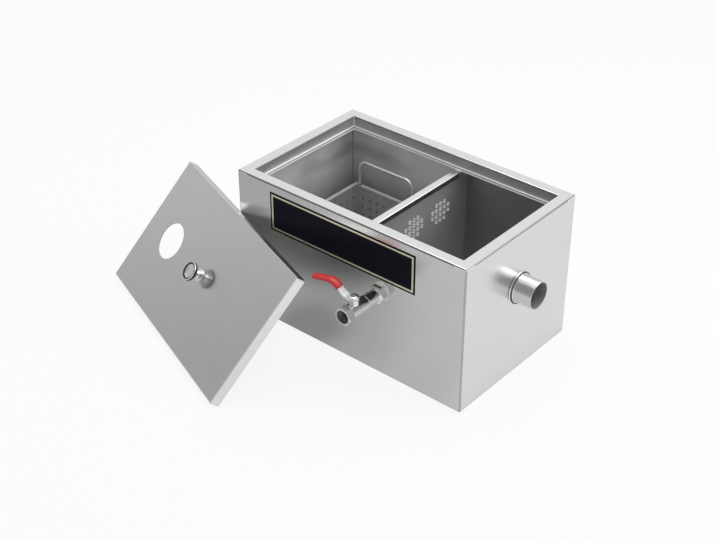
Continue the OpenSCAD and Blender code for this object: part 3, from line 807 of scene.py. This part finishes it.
lever_steps = [
    # along the lever and above the valve in mm, slope in degrees, size
    (33.0, 32.6, 43.0, 0.62), (30.9, 30.6, 43.0, 0.84), (30.5, 30.2, 43.0, 1.04),
    (31.2, 30.85, 43.0, 1.14), (32.6, 32.1, 43.0, 1.14), (34.4, 33.6, 42.0, 1.12),
    (38.14, 36.2, 29.6, 1.14), (42.65, 38.0, 14.3, 1.15), (47.49, 38.55, -1.0, 1.14),
    (52.65, 37.95, -14.4, 1.1), (62.0, 35.8, -14.4, 1.05), (74.0, 32.9, -14.4, 1.04),
    (82.5, 30.85, -14.4, 1.02), (86.2, 29.96, -14.4, 0.92), (88.2, 29.45, -14.4, 0.68),
    (89.0, 29.24, -14.4, 0.3),
]
sleeve_half_w = 0.00765
sleeve_half_t = 0.0044

red_material, red = new_material("red_dipped_plastic")
place = red.object_place()
orange_peel = red.noise(place, (700, 700, 700), 2.0)
cloud = red.noise(place, (60, 60, 60), 3.0)
red.surface(
    Base_Color=red.blend(cloud, (0.5, 0.02, 0.022, 1), (0.62, 0.042, 0.042, 1)),
    Roughness=0.36 + 0.14 * (cloud - 0.5),
    Normal=red.bump(orange_peel, 0.15, 0.0002),
)


def lever_point(along, above):
    return Vector((stem_x - along / 1000, stem_y, valve_z + above / 1000))


along, above, slope, size = lever_steps[0]
sleeve = start_circle(20, 1, turn=(0, pi / 2, 0))
sleeve.scale = (1, sleeve_half_w * size, sleeve_half_t * size)
sleeve.rotation_euler = (0, radians(slope), 0)
sleeve.location = lever_point(along, above)
bpy.ops.object.transform_apply(location=True, rotation=True, scale=True)
edit(sleeve)
bpy.ops.mesh.select_all(action="SELECT")
for next_along, next_above, next_slope, next_size in lever_steps[1:]:
    middle = lever_point(next_along, next_above)
    step = middle - lever_point(along, above)
    bpy.ops.mesh.extrude_edges_move(TRANSFORM_OT_translate={"value": step})
    share = next_size / size
    bpy.ops.transform.resize(value=(share, share, share), center_override=middle)
    bpy.ops.transform.rotate(
        value=radians(slope - next_slope), orient_axis="Y", center_override=middle
    )
    along, above, slope, size = next_along, next_above, next_slope, next_size
bpy.ops.mesh.select_all(action="SELECT")
bpy.ops.mesh.fill_holes(sides=0)
leave_edit()
smooth_skin(sleeve, 2)
put_on(sleeve, "dipped_lever_sleeve", red_material, "valve_lever")
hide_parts("lever_sleeve")


# Studio: a white floor that runs out of view, a broad softbox overhead and a small one on the
# right. Metal sees the floor's glow with painted shade under the lid and by the tank's foot,
# darker to the far left and painted lighter to the right, pale walls, and the darker side of the
# room behind the camera.

lid_corner_x, lid_corner_y = -0.074, -0.418
foot_shade_x, foot_shade_y = -0.11, -0.19
floor_level = 0.755
room_level = 0.55
wall_level = 0.7
backdrop_level = 0.95

bpy.ops.object.select_all(action="DESELECT")
bpy.ops.mesh.primitive_plane_add(size=14, location=(0, 0, -0.0003))
floor = bpy.context.active_object
floor.name = "studio_floor"
bpy.ops.object.transform_apply(location=True, rotation=True, scale=True)
floor_material, ground = new_material("white_floor")
camera_ray = ground.node("ShaderNodeLightPath", output="Is Camera Ray")
glossy_ray = ground.node("ShaderNodeLightPath", output="Is Glossy Ray")
lit = ground.node("ShaderNodeBsdfDiffuse", inputs={"Color": (0.72, 0.72, 0.72, 1)})
x, y, z = ground.axes(ground.object_place())
from_corner_x = x - lid_corner_x
from_corner_y = y - lid_corner_y
behind_lid = sin(lid_yaw) * from_corner_x + cos(lid_yaw) * from_corner_y
past_lid = cos(lid_yaw) * from_corner_x - sin(lid_yaw) * from_corner_y
# Painted shade and light in the floor's glow as metal sees it: darker under the lid, by the tank's
# foot and to the far left, lighter to the right.
under_lid = (
    ground.ramp(behind_lid, 0.02, 0.09, 0.7, 0.0)
    * ground.ramp(behind_lid, -0.012, 0.004, 0.0, 1.0)
    * ground.ramp(past_lid, -0.09, 0.01, 1.0, 0.0)
)
from_foot = ground.distance(x - foot_shade_x, y - foot_shade_y)
foot_shade = ground.ramp(from_foot, 0.03, 0.1, 0.25, 0.0)
foot_halo = ground.ramp(from_foot, 0.1, 0.22, 0.175, 0.0)
far_left = ground.ramp(x, -0.45, -0.3, 0.26, 0.0)
lit_right = ground.ramp(x, 0.16, 0.3, 0.0, 0.245)
bright = floor_level - foot_shade - foot_halo - under_lid - far_left + lit_right
sweep = ground.blend(
    bright.math("MAXIMUM", camera_ray), (0.1, 0.1, 0.1, 1), (1, 1, 1, 1)
)
white = ground.node("ShaderNodeEmission", inputs={"Color": sweep, "Strength": 1.0})
mixed = ground.node(
    "ShaderNodeMixShader", inputs=[0.9 * camera_ray + 0.8 * glossy_ray, lit, white]
)
ground.node("ShaderNodeOutputMaterial", inputs=[mixed])
floor.data.materials.append(floor_material)

world = bpy.data.worlds.new("studio")
bpy.context.scene.world = world
world.use_nodes = True
room = Shader(world.node_tree)
x, y, z = room.axes(room.node("ShaderNodeTexCoord", output="Generated"))
seen = room.node("ShaderNodeLightPath", output="Is Camera Ray")
camera_side = room.ramp(y - 0.55 * x, -0.25, 0.1, 1.0, 0.0)
behind_camera = room_level - room.ramp(z, 0.2, 0.35, 0.0, 0.13)
left_wall = room.ramp(x, -0.95, -0.5, 0.14, 0.0)
back_wall = room.ramp(y, -0.1, 0.7, 0.0, 0.24)
facing = wall_level - left_wall + back_wall
walls = behind_camera * camera_side + facing * (1 - camera_side)
sky = room.node(
    "ShaderNodeBackground",
    inputs={"Color": (1, 1, 1, 1), "Strength": backdrop_level * seen + (1 - seen) * walls},
)
room.node("ShaderNodeOutputWorld", inputs=[sky])


def softbox(name, place, target, size, power):
    light = bpy.data.lights.new(name, "AREA")
    light.shape = "RECTANGLE"
    light.size, light.size_y = size
    light.energy = power
    lamp = bpy.data.objects.new(name, light)
    bpy.context.scene.collection.objects.link(lamp)
    aim = Vector(target) - Vector(place)
    lamp.matrix_world = (
        Matrix.Translation(place) @ aim.to_track_quat("-Z", "Y").to_matrix().to_4x4()
    )


softbox("overhead_softbox", (0.0, 0.1, 2.4), (0, 0, 0), (2.4, 1.6), 30)
softbox("right_softbox", (1.4, 0.9, 1.3), (0.7, 0.5, 0), (1.2, 1.2), 10)

camera_place = Vector((1.2906775, -1.6328384, 1.4651865))
azimuth, elevation, roll = radians(40.5209), radians(33.2283), radians(-0.0821)

camera_data = bpy.data.cameras.new("camera")
camera_data.sensor_width = 36
camera_data.lens = 69.516
camera = bpy.data.objects.new("camera", camera_data)
bpy.context.scene.collection.objects.link(camera)
back = Vector((sin(azimuth) * cos(elevation), -cos(azimuth) * cos(elevation), sin(elevation)))
level_right = Vector((cos(azimuth), sin(azimuth), 0))
level_up = back.cross(level_right)
right = level_right * cos(roll) + level_up * sin(roll)
up = level_up * cos(roll) - level_right * sin(roll)
turn = Matrix((right, up, back)).transposed().to_4x4()
camera.matrix_world = Matrix.Translation(camera_place) @ turn
bpy.context.scene.camera = camera

bpy.context.scene.view_settings.view_transform = "Standard"
